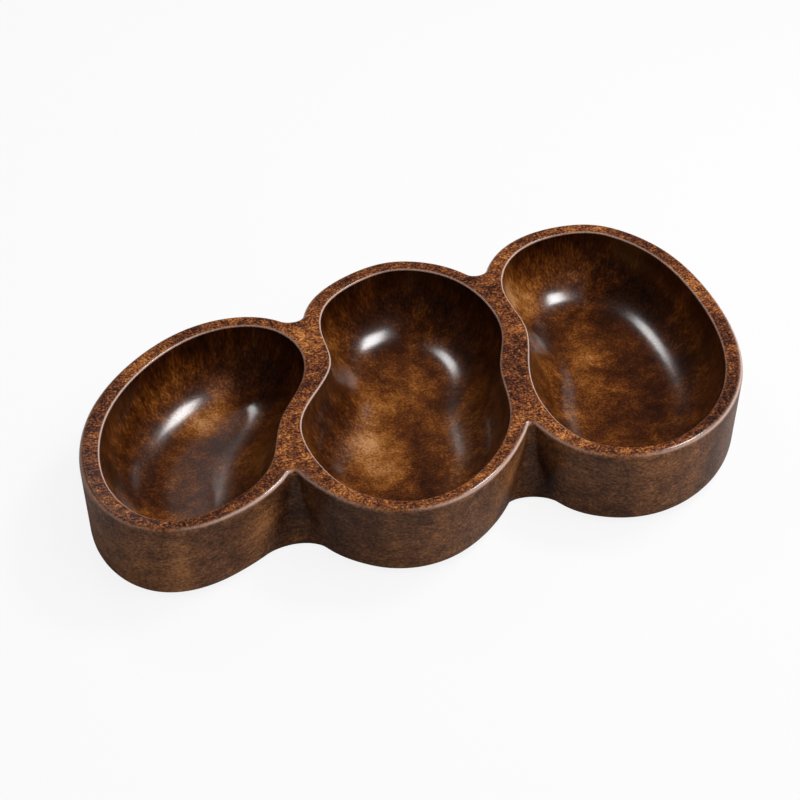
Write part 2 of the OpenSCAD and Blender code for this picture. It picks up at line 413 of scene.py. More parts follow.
@dataclass
class RimWidths:
    """Width of the rim for the four ways that it can face."""

    front: float = 8.75 * MM
    back: float = 11.75 * MM
    left: float = 12.25 * MM
    right: float = 11.75 * MM

    def facing(self, way: Vector) -> float:
        """Works out the rim's width.

        Args:
            way: The way that its outer edge faces.

        Returns:
            The width.
        """
        ends = self.right if way.x > 0 else self.left
        sides = self.back if way.y > 0 else self.front
        return ends * way.x**2 + sides * way.y**2


@dataclass
class BowlPlan:
    """The bowl seen from above: its three hollows, and the lobed outline round them.

    A nest share is how closely two hollows lie side by side. The tips are the places on the lobes'
    edges at the bowl's two ends.
    """

    partition: float = 15 * MM
    skin_tuck: float = 0.15 * MM
    front_run: float = 4.5 * MM
    back_run: float = 13.5 * MM
    base_run: float = 27 * MM
    notch_pull_share: float = 1.15
    left_nest_share: float = 0.79
    right_nest_share: float = 0.944
    left_setback: float = 9 * MM
    right_setback: float = -4 * MM
    left_tip: float = 4.0
    right_tip: float = 12.5
    search_step: float = 0.4
    search_rounds: int = 10
    end_steps: int = 110
    side_steps: int = 96
    notch_steps: int = 40
    rims: RimWidths = field(default_factory=RimWidths)
    left: Hollow = field(init=False)
    middle: Hollow = field(init=False)
    right: Hollow = field(init=False)
    notches: list[Notch] = field(init=False)
    shift: Vector = field(init=False)

    def __post_init__(self) -> None:
        """Places the hollows, finds where the lobes cross, and centres the plan on the frame."""
        left_x = -self._spacing(LEFT_SHAPE, self.left_nest_share)
        right_x = self._spacing(RIGHT_SHAPE, self.right_nest_share)
        self.left = Hollow("left", Vector((left_x, self.left_setback)), LEFT_SHAPE)
        self.middle = Hollow("middle", Vector((0.0, 0.0)), MIDDLE_SHAPE)
        self.right = Hollow("right", Vector((right_x, self.right_setback)), RIGHT_SHAPE)
        self.notches = [
            Notch(self.left, self.middle, t=9.2, s=6.5, rim_run=self.front_run),
            Notch(self.middle, self.right, t=12.0, s=6.3, rim_run=self.front_run),
            Notch(self.right, self.middle, t=18.7, s=15.2, rim_run=self.back_run),
            Notch(self.middle, self.left, t=19.9, s=12.4, rim_run=self.back_run),
        ]
        for notch in self.notches:
            self._find_crossing(notch)
        self.shift = Vector((0.0, 0.0))
        points = self.outline(1.0) + self.outline(0.0)
        low = Vector((min(p.x for p in points), min(p.y for p in points)))
        high = Vector((max(p.x for p in points), max(p.y for p in points)))
        cad_low, cad_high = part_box("bowl_body")
        self.shift = ((Vector(cad_low) + Vector(cad_high)) / 2).xy - (low + high) / 2

    def _spacing(self, shape: HollowShape, nest_share: float) -> float:
        """Works out how far a hollow's middle lies from the middle hollow's.

        Args:
            shape: The hollow's shape.
            nest_share: How closely the two nest.

        Returns:
            The distance along X.
        """
        reaches = [s.width / 2 / math.sin(math.radians(s.tilt)) for s in (shape, MIDDLE_SHAPE)]
        mean_tilt = math.radians((shape.tilt + MIDDLE_SHAPE.tilt) / 2)
        return sum(reaches) * nest_share + self.partition / math.sin(mean_tilt)

    def lobe_point(self, hollow: Hollow, t: float, level: float) -> Vector:
        """Works out a point of a lobe's outer wall.

        Args:
            hollow: The lobe's hollow.
            t: The place along the hollow's edge.
            level: From 0 at the base to 1 at the rim.

        Returns:
            The plan point.
        """
        shape = hollow.shape
        way = hollow.curve.outward(t)
        width = self.rims.facing(way) + sum(swell.at(t, level) for swell in shape.swells)
        return hollow.curve.at(t) + way * (width - self.skin_tuck - shape.lean * (1 - level))

    def lobe_way(self, hollow: Hollow, t: float, level: float) -> Vector:
        """Works out the way that a lobe's outer wall runs.

        Args:
            hollow: The lobe's hollow.
            t: The place along the hollow's edge.
            level: From 0 at the base to 1 at the rim.

        Returns:
            The unit vector along the wall.
        """
        step = 0.01
        ahead = self.lobe_point(hollow, t + step, level) - self.lobe_point(hollow, t - step, level)
        return ahead.normalized()

    def _find_crossing(self, notch: Notch) -> None:
        """Moves a notch's places to where its two lobes cross at the rim.

        Args:
            notch: The notch. Its places lie near the crossing.
        """
        longest = self.search_step
        for _ in range(self.search_rounds):
            on_leaving = self.lobe_point(notch.leaving, notch.t, 1.0)
            gap = self.lobe_point(notch.joining, notch.s, 1.0) - on_leaving
            t_slope = notch.leaving.curve.slope(notch.t)
            s_slope = notch.joining.curve.slope(notch.s)
            turn = cross(t_slope, s_slope)
            notch.t += max(-longest, min(longest, cross(gap, s_slope) / turn))
            notch.s += max(-longest, min(longest, cross(gap, t_slope) / turn))

    def _stretch(self, hollow: Hollow, start: float, end: float, level: float) -> list[Vector]:
        """Draws a stretch of a lobe.

        Args:
            hollow: The lobe's hollow.
            start: The place that it starts at.
            end: The place that it ends at.
            level: From 0 at the base to 1 at the rim.

        Returns:
            Its points. The right lobe's tip parts its stretch in two.
        """
        stops = [start, self.right_tip, end] if hollow is self.right else [start, end]
        steps = self.side_steps if hollow is self.middle else self.end_steps
        return [
            self.lobe_point(hollow, a + (b - a) * (i + 0.5) / steps, level)
            for a, b in zip(stops, stops[1:])
            for i in range(steps)
        ]

    def _blend(self, notch: Notch, t: float, s: float, level: float) -> list[Vector]:
        """Rounds a notch.

        Args:
            notch: The notch.
            t: Where it leaves the first lobe.
            s: Where it joins the second.
            level: From 0 at the base to 1 at the rim.

        Returns:
            Its points.
        """
        start = self.lobe_point(notch.leaving, t, level)
        end = self.lobe_point(notch.joining, s, level)
        pull = self.notch_pull_share * (end - start).length
        leave = self.lobe_way(notch.leaving, t, level) * pull
        join = self.lobe_way(notch.joining, s, level) * pull
        steps = self.notch_steps
        return [hermite(start, leave, end, join, i / steps) for i in range(steps + 1)]

    def outline(self, level: float) -> list[Vector]:
        """Draws the block's outline.

        Args:
            level: From 0 at the base to 1 at the rim.

        Returns:
            Its points, counterclockwise from the left lobe's tip.
        """
        points: list[Vector] = []
        start = self.left_tip
        for notch in self.notches:
            run = self.base_run + (notch.rim_run - self.base_run) * math.sqrt(level)
            t = notch.leaving.before(notch.t, run)
            s = notch.joining.after(notch.s, run)
            points += self._stretch(notch.leaving, start, t, level)
            points += self._blend(notch, t, s, level)
            start = s
        last_tip = self.left_tip + len(self.left.shape.shares)
        points += self._stretch(self.left, start, last_tip, level)
        return [p + self.shift for p in points]

    def edge(self, hollow: Hollow, stations: int) -> list[Vector]:
        """Returns the points of a hollow's edge at the rim."""
        count = len(hollow.shape.shares)
        return [hollow.curve.at(count * i / stations) + self.shift for i in range(stations)]


def cross(a: Vector, b: Vector) -> float:
    """Returns the cross product of two plan vectors."""
    return a.x * b.y - a.y * b.x


@dataclass(frozen=True)
class Finish:
    """The base of every finish: it makes one material."""

    name: str

    def material(self) -> bpy.types.Material:
        """Makes the material and lets the finish fill its tree.

        Returns:
            The new material.
        """
        made = bpy.data.materials.new(self.name)
        made.use_nodes = True
        made.node_tree.nodes.clear()
        tree = Tree(made.node_tree)
        surface = self.surface(tree)
        tree.add("ShaderNodeOutputMaterial", inputs={"Surface": surface})
        return made

    def surface(self, tree: Tree) -> Socket:
        """Adds the finish's nodes and returns the shader. Each finish has its own."""
        raise NotImplementedError


@dataclass(frozen=True)
class Cloud:
    """One layer of a mottled pattern.

    Size is that of its largest blots in millimetres, and weight what the layer counts in a stain.
    Detail is its number of finer layers, rough how strong each of them is, and warp how far the
    pattern is drawn out of true. It runs long along an axis whose stretch share is small.
    """

    size: float
    weight: float
    detail: float
    rough: float
    warp: float = 0.0
    stretch: Triple = (1.0, 1.0, 1.0)

    def at(self, tree: Tree, place: Any) -> Value:
        """Returns the layer at a place in metres. Its mean is about 0.5."""
        node = tree.add(
            "ShaderNodeTexNoise",
            {"noise_dimensions": "3D"},
            {
                "Vector": tree.stretched(place, self.stretch),
                "Scale": 1 / (self.size * MM),
                "Detail": self.detail,
                "Roughness": self.rough,
                "Distortion": self.warp,
            },
        )
        return Value(tree, node.outputs[0])


@dataclass(frozen=True)
class StainAndLightPatch:
    """A soft-edged place, in millimetres, where the tone is raised or lowered: in some, stain rubbed
    thin or laid on thick, in others painted light and painted shade.
    """

    x: float
    y: float
    z: float
    radius: float
    tone: float

    def add_to(self, tree: Tree, tone: Value, place: Any) -> Value:
        """Adds the patch to a stain.

        Args:
            tree: The material's tree.
            tone: The tone without the patch.
            place: The coordinates, in metres.

        Returns:
            The tone with the patch.
        """
        middle = (self.x * MM, self.y * MM, self.z * MM)
        near = (1.0 - tree.distance(place, middle) / (self.radius * MM)).clamped()
        return tone + near * near.math("SQRT") * self.tone


def stain_and_light_patches(*rows: tuple[float, float, float, float, float]) -> tuple[StainAndLightPatch, ...]:
    """Returns a patch for each row of x, y, z, radius and tone."""
    return tuple(StainAndLightPatch(*row) for row in rows)


@dataclass(frozen=True)
class Stain:
    """One zone's stain: its layers, its colours from thick to thin, and its patches, some of stain
    rubbed thin or laid on thick and some of painted light and painted shade.
    """

    clouds: tuple[Cloud, ...]
    offset: float
    stops: Stops
    patches: tuple[StainAndLightPatch, ...]

    def laid(self, tree: Tree, place: Any, extra: Number = 0.0) -> tuple[Socket, Value]:
        """Lays the stain.

        Args:
            tree: The material's tree.
            place: The coordinates, in metres.
            extra: What the tone gains besides: for the hollows, painted light and shade by the way
            the surface faces, and a darker band below the rim.

        Returns:
            The stain's colour, and its first layer, which is its grain.
        """
        layers = [cloud.at(tree, place) for cloud in self.clouds]
        tone = extra + self.offset
        for cloud, layer in zip(self.clouds, layers):
            tone = layer * cloud.weight + tone
        for patch in self.patches:
            tone = patch.add_to(tree, tone, place)
        return tree.add("ShaderNodeValToRGB", {"stops": self.stops}, {0: tone}).outputs[0], layers[0]


UPRIGHT: Triple = (1.0, 1.0, 0.22)
RIM_STAIN = Stain(
    clouds=(Cloud(1.5, 1.6, 2.0, 0.7), Cloud(6.0, 1.0, 3.0, 0.65, 0.5), Cloud(45.0, 0.7, 2.0, 0.5)),
    offset=-1.145,
    stops=(
        (0.20, (0.014, 0.005, 0.004)),
        (0.40, (0.075, 0.022, 0.011)),
        (0.58, (0.190, 0.058, 0.020)),
        (0.76, (0.440, 0.150, 0.038)),
        (0.96, (0.680, 0.310, 0.095)),
    ),
    patches=stain_and_light_patches(
        (58, -86, 54, 26, 0.16), (-25, -112, 54, 48, 0.05), (60, 92, 54, 30, 0.10),
        (-150, 70, 54, 50, 0.10), (-62, 60, 54, 50, 0.10), (64, 20, 54, 40, 0.02),
        (-200, -20, 54, 45, 0.04), (168, -88, 54, 50, -0.22), (200, -40, 54, 40, -0.14),
    ),
)
# Many of the hollows' patches are painted light and painted shade rather than stain: the strong amber
# ones on the floors and the right hollow's left wall paint the glow of the lamps' light, and the
# darker ones on the back walls paint shade. The rest are stain.
HOLLOW_STAIN_AND_LIGHT = Stain(
    clouds=(
        Cloud(7.0, 0.50, 5.0, 0.62, 0.3, UPRIGHT),
        Cloud(40.0, 0.85, 4.0, 0.6, 0.3),
        Cloud(1.5, 0.70, 3.0, 0.65, 0.0, UPRIGHT),
    ),
    offset=-0.55,
    stops=(
        (0.20, (0.012, 0.0028, 0.0005)),
        (0.40, (0.042, 0.0095, 0.0014)),
        (0.55, (0.110, 0.0290, 0.0040)),
        (0.72, (0.270, 0.0880, 0.0140)),
        (0.92, (0.520, 0.2500, 0.1000)),
    ),
    patches=stain_and_light_patches(
        (-30, -4, 14, 32, 0.46), (-40, -28, 15, 34, 0.40), (-12, 24, 13, 28, 0.24),
        (17, 10, 13, 24, 0.12), (40, 2, 22, 22, 0.10), (104, 74, 38, 36, 0.52),
        (118, 86, 24, 28, 0.28), (134, 23, 13, 22, 0.20), (116, 2, 14, 22, 0.08),
        (-110, 52, 14, 30, 0.20), (-142, -14, 13, 52, -0.05), (-62, -8, 32, 30, -0.10),
        (-30, -62, 15, 34, 0.07), (-190, 10, 42, 46, -0.13), (24, -6, 14, 18, 0.14),
        (-123, 46, 14, 20, 0.14), (30, 100, 40, 60, -0.07), (178, 84, 38, 62, -0.03),
        (122, -50, 14, 44, -0.12), (152, -14, 13, 44, -0.13), (-98, 20, 14, 30, -0.10),
    ),
)
# Some of the wall's patches are painted light and painted shade rather than stain: the negative ones
# in the two front notches paint shade in their bottoms, the positive ones on the notches' flanks paint
# light where they face the lamps, and those at the left end paint part of the wall's sheen. The rest
# are stain.
WALL_STAIN_AND_LIGHT = Stain(
    clouds=(
        Cloud(1.3, 1.0, 3.0, 0.75, 0.0, (0.6, 0.6, 1.0)),
        Cloud(7.0, 0.5, 4.0, 0.65, 0.4, (0.5, 0.5, 1.0)),
        Cloud(24.0, 0.5, 3.0, 0.5, 0.0, (1.0, 1.0, 0.15)),
    ),
    offset=-0.5,
    stops=(
        (0.24, (0.022, 0.007, 0.003)),
        (0.42, (0.075, 0.026, 0.009)),
        (0.58, (0.160, 0.060, 0.022)),
        (0.76, (0.330, 0.130, 0.044)),
        (0.94, (0.500, 0.220, 0.075)),
    ),
    patches=stain_and_light_patches(
        (-206, -40, 20, 60, 0.10), (-176, -78, 24, 60, 0.18), (-20, -118, 24, 70, 0.10),
        (196, -62, 30, 56, 0.12), (-118, -76, 34, 26, 0.26), (28, -90, 36, 26, 0.34),
        (38, -78, 46, 18, 0.16), (-103, -64, 42, 14, -0.35), (-100, -66, 24, 18, -0.30),
        (-93, -70, 34, 18, -0.04), (48, -75, 36, 12, -0.20), (52, -84, 20, 22, -0.30),
        (110, -118, 44, 46, 0.14),
    ),
)


class Zone(Enum):
    """The attributes that say which zone of the wood a point belongs to."""

    HOLLOW = "hollow_share"
    WALL = "wall_share"
    EDGE = "edge_share"


@dataclass(frozen=True)
class ByZone:
    """A quantity of the flat rim, and what the zones and the bend add to it."""

    rim: float
    hollow: float
    wall: float
    bend: float

    def at(self, hollow: Value, wall: Value) -> Value:
        """Returns the quantity. The bend is the rounded edge between the rim and the wall."""
        bend = wall * (1.0 - wall) * 4.0
        return hollow * self.hollow + wall * self.wall + bend * self.bend + self.rim


@dataclass(frozen=True)
class LacqueredWood(Finish):
    """Walnut-brown stain, rubbed in by hand, under clear lacquer.

    The painted light side paints light and shade on the hollows' stain, and the painted highlight
    sides paint pale highlights on the edges. The length of a side's vector is how strongly it
    counts where the surface faces it squarely.
    """

    name: str = "lacquered_wood"
    # Painted light and shade: the hollows' stain is lighter where they face this side, as lamps would
    # light them.
    painted_light_side: Triple = (0.05, 0.07, 0.0)
    # The hollows' stain is darker in a band below the rim, from this level up over this run.
    dark_band_level: float = 40 * MM
    dark_band_run: float = 12 * MM
    dark_band_tone: float = -0.10
    worn_level: float = 0.40
    worn_gain: float = 6.0
    worn_share: float = 0.7
    worn_colour: Triple = (0.34, 0.125, 0.040)
    # Painted highlight: pale lines on the edges that face these sides, standing in for the lamps'
    # reflection.
    painted_highlight_side: Triple = (1.4, -0.55, 0.0)
    painted_highlight_back: float = 0.45
    hollow_highlight_side: Triple = (-0.60, -0.45, 0.0)
    painted_highlight_share: float = 0.9
    painted_highlight_colour: Triple = (0.80, 0.60, 0.53)
    rough: ByZone = ByZone(rim=0.70, hollow=-0.40, wall=-0.08, bend=-0.25)
    grain_rough: float = 0.10
    coat: ByZone = ByZone(rim=0.04, hollow=0.96, wall=0.16, bend=0.86)
    coat_roughness: float = 0.18
    specular: float = 0.10
    rim_relief: float = 0.5
    wall_relief: float = 0.6
    bump_strength: float = 0.25
    bump_depth: float = 0.3 * MM

    def surface(self, tree: Tree) -> Socket:
        """Adds the stain of the three zones with their painted light and shade, the wear of the edges,
        the painted highlights on the edges, and the lacquer.

        Args:
            tree: The material's tree.

        Returns:
            The shader.
        """
        place = tree.add("ShaderNodeTexCoord").outputs["Object"]
        facing = tree.add("ShaderNodeNewGeometry").outputs["Normal"]
        hollow, wall, edge = (
            Value(tree, tree.add("ShaderNodeAttribute", {"attribute_name": zone.value}).outputs["Fac"])
            for zone in Zone
        )
        # The hollows' tone: painted light and shade by the way each surface faces, and darker in a
        # band below the rim.
        near_rim_share = ((tree.along(place, (0.0, 0.0, 1.0)) - self.dark_band_level) / self.dark_band_run).clamped()
        extra = tree.along(facing, self.painted_light_side) + near_rim_share * self.dark_band_tone
        rim_colour, grain = RIM_STAIN.laid(tree, place)
        hollow_colour, _ = HOLLOW_STAIN_AND_LIGHT.laid(tree, place, extra)
        wall_colour, flecks = WALL_STAIN_AND_LIGHT.laid(tree, place)
        colour = tree.mixed(hollow, rim_colour, hollow_colour)
        colour = tree.mixed(wall, colour, wall_colour)
        worn = ((grain - self.worn_level) * self.worn_gain).clamped() * edge * self.worn_share
        colour = tree.mixed(worn, colour, self.worn_colour)
        # Painted highlight: a pale line on the edges that face the lamps.
        painted_highlight = edge * edge * self._painted_highlight_mask(tree, facing, hollow) * self.painted_highlight_share
        colour = tree.mixed(painted_highlight, colour, self.painted_highlight_colour)
        relief = grain * (1.0 - hollow) * (1.0 - wall) * self.rim_relief
        relief = relief + flecks * wall * self.wall_relief
        lacquer = tree.add(
            "ShaderNodeBsdfPrincipled",
            inputs={
                "Base Color": colour,
                "Roughness": self.rough.at(hollow, wall) + grain * self.grain_rough,
                "Specular IOR Level": self.specular,
                "Coat Weight": self.coat.at(hollow, wall),
                "Coat Roughness": self.coat_roughness,
                "Normal": tree.bump(self.bump_strength, self.bump_depth, relief),
            },
        )
        return lacquer.outputs[0]

    def _painted_highlight_mask(self, tree: Tree, facing: Any, hollow: Value) -> Value:
        """Works out the painted highlight on the edges, by the way that they face.

        Args:
            tree: The material's tree.
            facing: The surface's normal.
            hollow: The share of the hollow's zone.

        Returns:
            The painted highlight's share, from 0 to 1.
        """
        near_side = tree.along(facing, self.painted_highlight_side)
        inner = (hollow * 4.0).clamped()
        outer_back = near_side * (inner - 1.0) * self.painted_highlight_back
        inner_back = tree.along(facing, self.hollow_highlight_side) * inner
        return near_side.math("MAXIMUM", outer_back + inner_back).clamped()


@dataclass(frozen=True)
class RubberPad(Finish):
    """Matt dark rubber with a fine dusty grain."""

    name: str = "rubber_pad"
    dust: Cloud = Cloud(0.8, 1.0, 3.0, 0.6)
    dark: Triple = (0.016, 0.014, 0.013)
    dusty: Triple = (0.040, 0.036, 0.032)
    roughness: float = 0.62
    dust_rough: float = 0.2
    bump_strength: float = 0.2
    bump_depth: float = 0.1 * MM

    def surface(self, tree: Tree) -> Socket:
        """Adds the rubber.

        Args:
            tree: The material's tree.

        Returns:
            The shader.
        """
        grain = self.dust.at(tree, tree.add("ShaderNodeTexCoord").outputs["Object"])
        rubber = tree.add(
            "ShaderNodeBsdfPrincipled",
            inputs={
                "Base Color": tree.mixed(grain, self.dark, self.dusty),
                "Roughness": grain * self.dust_rough + self.roughness,
                "Normal": tree.bump(self.bump_strength, self.bump_depth, grain),
            },
        )
        return rubber.outputs[0]


@dataclass(frozen=True)
class PaleFloor(Finish):
    """A white floor that the camera sees near full white, with the bowl's shadow kept."""

    name: str = "pale_floor"
    paint: Triple = (0.80, 0.80, 0.80)
    white: Triple = (1.0, 1.0, 1.0)
    white_share: float = 0.88

    def surface(self, tree: Tree) -> Socket:
        """Adds the floor's paint and the white that the camera sees.

        Args:
            tree: The material's tree.

        Returns:
            The shader.
        """
        seen = Value(tree, tree.add("ShaderNodeLightPath").outputs["Is Camera Ray"])
        paint = tree.add("ShaderNodeBsdfDiffuse", inputs={"Color": (*self.paint, 1.0)})
        white = tree.add("ShaderNodeEmission", inputs={"Color": (*self.white, 1.0), "Strength": 1.0})
        mixed = tree.add(
            "ShaderNodeMixShader",
            inputs={0: seen * self.white_share, 1: paint.outputs[0], 2: white.outputs[0]},
        )
        return mixed.outputs[0]


def placed(name: str, data: bpy.types.ID) -> bpy.types.Object:
    """Makes an object and links it into the scene.

    Args:
        name: Its name.
        data: Its mesh, lamp or camera.

    Returns:
        The object.
    """
    made = bpy.data.objects.new(name, data)
    bpy.context.scene.collection.objects.link(made)
    return made


class GuideLoop:
    """A closed loop of points that carries the way out at each of them, for a sweep to follow."""

    def __init__(self, name: str, *rows: list[Vector], span: int = 1) -> None:
        """Makes the loop's object.

        Args:
            name: The object's name.
            rows: The loop's plan points, counterclockwise. A loop that changes with height has
                more than one row, from the lowest to the highest.
            span: How many points to either side the way out is levelled over, so that rings laid
                far inside a tight bend don't fold.
        """
        count = len(rows[0])
        firsts = range(0, count * len(rows), count)
        edges = [(first + i, first + (i + 1) % count) for first in firsts for i in range(count)]
        mesh = bpy.data.meshes.new(name)
        mesh.from_pydata([(p.x, p.y, 0.0) for row in rows for p in row], edges, [])
        outward = mesh.attributes.new("outward", "FLOAT_VECTOR", "POINT")
        for first, row in zip(firsts, rows):
            for i in range(count):
                along = (row[(i + span) % count] - row[i - span]).normalized()
                outward.data[first + i].vector = (along.y, -along.x, 0.0)
        self.count = count
        self.object = placed(name, mesh)


class SocketKind(Enum):
    """The kinds of socket that the carving tree has."""

    GEOMETRY = "NodeSocketGeometry"
    OBJECT = "NodeSocketObject"
    NUMBER = "NodeSocketFloat"
    MATERIAL = "NodeSocketMaterial"


@dataclass
class CarvedBody:
    """The wooden block with its three hollows.

    Support is how far a flat runs on past a rounding, which keeps its shading flat. The weld is the
    distance that points are joined within.
    """

    plan: BowlPlan
    finish: Finish = field(default_factory=LacqueredWood)
    rim_round: float = 2.75 * MM
    rim_roll: float = 3.6 * MM
    base_round: float = 6 * MM
    depth: float = 41 * MM
    floor_round: float = 38 * MM
    edge_round: float = 1.5 * MM
    wall_tilt: float = math.radians(8.0)
    floor_tilt: float = math.radians(3.0)
    support: float = 0.4 * MM
    edge_stations: int = 360
    levelled_stations: int = 10
    outline_rows: int = 13
    round_rings: int = 8
    wall_rings: int = 12
    hollow_wall_rings: int = 3
    fillet_rings: int = 24
    floor_rings: int = 10
    weld: float = 0.0005 * MM

    def build(self) -> bpy.types.Object:
        """Carves the block, dresses it and lets it ride on the root body.

        Returns:
            The finished piece.
        """
        guides = self._guides()
        numbers = self._numbers()
        group = self._tree(guides, list(numbers))
        values: dict[str, Any] = {**numbers, "Material": self.finish.material()}
        values.update({label: loop.object for label, loop in guides.items()})
        mesh = self._carved(group, values)
        for loop in guides.values():
            bpy.data.objects.remove(loop.object)
        body = placed("carved_bowl", mesh)
        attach(body, "root")
        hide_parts("bowl_body")
        return body

    def _hollows(self) -> dict[str, Hollow]:
        """Returns the hollows by the names of their edges' inputs."""
        hollows = (self.plan.left, self.plan.middle, self.plan.right)
        return {f"{hollow.name.title()} Edge": hollow for hollow in hollows}

    def _guides(self) -> dict[str, GuideLoop]:
        """Makes the loops that the sweeps follow.

        Returns:
            Each loop, by the name of its input.
        """
        climbs = [i / (self.outline_rows - 1) for i in range(self.outline_rows)]
        guides = {
            "Rim Outline": GuideLoop("rim_outline", self.plan.outline(1.0)),
            "Base Outline": GuideLoop("base_outline", self.plan.outline(0.0)),
            "Wall Outlines": GuideLoop("wall_outlines", *[self.plan.outline(c**2) for c in climbs]),
        }
        for label, hollow in self._hollows().items():
            edge = self.plan.edge(hollow, self.edge_stations)
            guides[label] = GuideLoop(f"{hollow.name}_edge", edge, span=self.levelled_stations)
        return guides

    def _numbers(self) -> dict[str, float]:
        """Returns the lengths and angles that the tree takes, by the names of their inputs."""
        low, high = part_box("bowl_body")
        return {
            "Base Level": low[2],
            "Rim Level": high[2],
            "Rim Round": self.rim_round,
            "Rim Roll": self.rim_roll,
            "Base Round": self.base_round,
            "Hollow Depth": self.depth,
            "Floor Round": self.floor_round,
            "Edge Round": self.edge_round,
            "Support": self.support,
            "Wall Tilt": self.wall_tilt,
            "Floor Tilt": self.floor_tilt,
        }

    @staticmethod
    def _carved(group: bpy.types.NodeTree, values: dict[str, Any]) -> bpy.types.Mesh:
        """Runs the tree.

        Args:
            group: The carving tree.
            values: What its inputs are given, by their names.

        Returns:
            The mesh that it makes.
        """
        carrier = placed("bowl_body_carrier", bpy.data.meshes.new("bowl_body_carrier"))
        modifier = carrier.modifiers.new("carve", "NODES")
        modifier.node_group = group
        for item in group.interface.items_tree:
            if item.name in values:
                modifier[item.identifier] = values[item.name]
        bpy.context.view_layer.update()
        evaluated = carrier.evaluated_get(bpy.context.evaluated_depsgraph_get())
        mesh = bpy.data.meshes.new_from_object(evaluated)
        bpy.data.objects.remove(carrier)
        return mesh

    def _tree(self, guides: dict[str, GuideLoop], numbers: list[str]) -> bpy.types.NodeTree:
        """Builds the tree that carves the block.

        Args:
            guides: The loops that the sweeps follow, by the name of their input.
            numbers: The names of the inputs that hold lengths and angles.

        Returns:
            The tree.
        """
        group = bpy.data.node_groups.new("carve_bowl", "GeometryNodeTree")
        sockets = group.interface
        sockets.new_socket("Geometry", in_out="OUTPUT", socket_type=SocketKind.GEOMETRY.value)
        kinds = {
            "Geometry": SocketKind.GEOMETRY,
            **{label: SocketKind.OBJECT for label in guides},
            **{label: SocketKind.NUMBER for label in numbers},
            "Material": SocketKind.MATERIAL,
        }
        for label, kind in kinds.items():
            sockets.new_socket(label, in_out="INPUT", socket_type=kind.value)
        tree = Tree(group)
        given = tree.add("NodeGroupInput").outputs
        size = {label: Value(tree, given[label]) for label in numbers}
        loops = {}
        for label in guides:
            held = tree.add("GeometryNodeObjectInfo", inputs={"Object": given[label]})
            loops[label] = held.outputs["Geometry"]
        outer = OuterWall(self, tree, size)
        parts = [
            outer.sweep(loops["Wall Outlines"], guides["Wall Outlines"].count),
            outer.base(loops["Base Outline"]),
        ]
        wall = HollowWall(self, tree, size)
        holes = []
        for label, hollow in self._hollows().items():
            floor_middle = hollow.middle + self.plan.shift
            parts.append(wall.sweep(loops[label], guides[label].count, floor_middle))
            holes.append(wall.rim_loop(loops[label]))
        parts.append(outer.top(loops["Rim Outline"], holes))
        made = outer.joined(parts)
        welding = {"Geometry": made, "Distance": self.weld}
        made = tree.add("GeometryNodeMergeByDistance", inputs=welding).outputs[0]
        made = tree.add("GeometryNodeSetShadeSmooth", inputs={"Geometry": made}).outputs[0]
        made = tree.add("GeometryNodeRealizeInstances", inputs={"Geometry": made}).outputs[0]
        dressing = {"Geometry": made, "Material": given["Material"]}
        made = tree.add("GeometryNodeSetMaterial", inputs=dressing).outputs[0]
        tree.add("NodeGroupOutput", inputs={0: made})
        return group


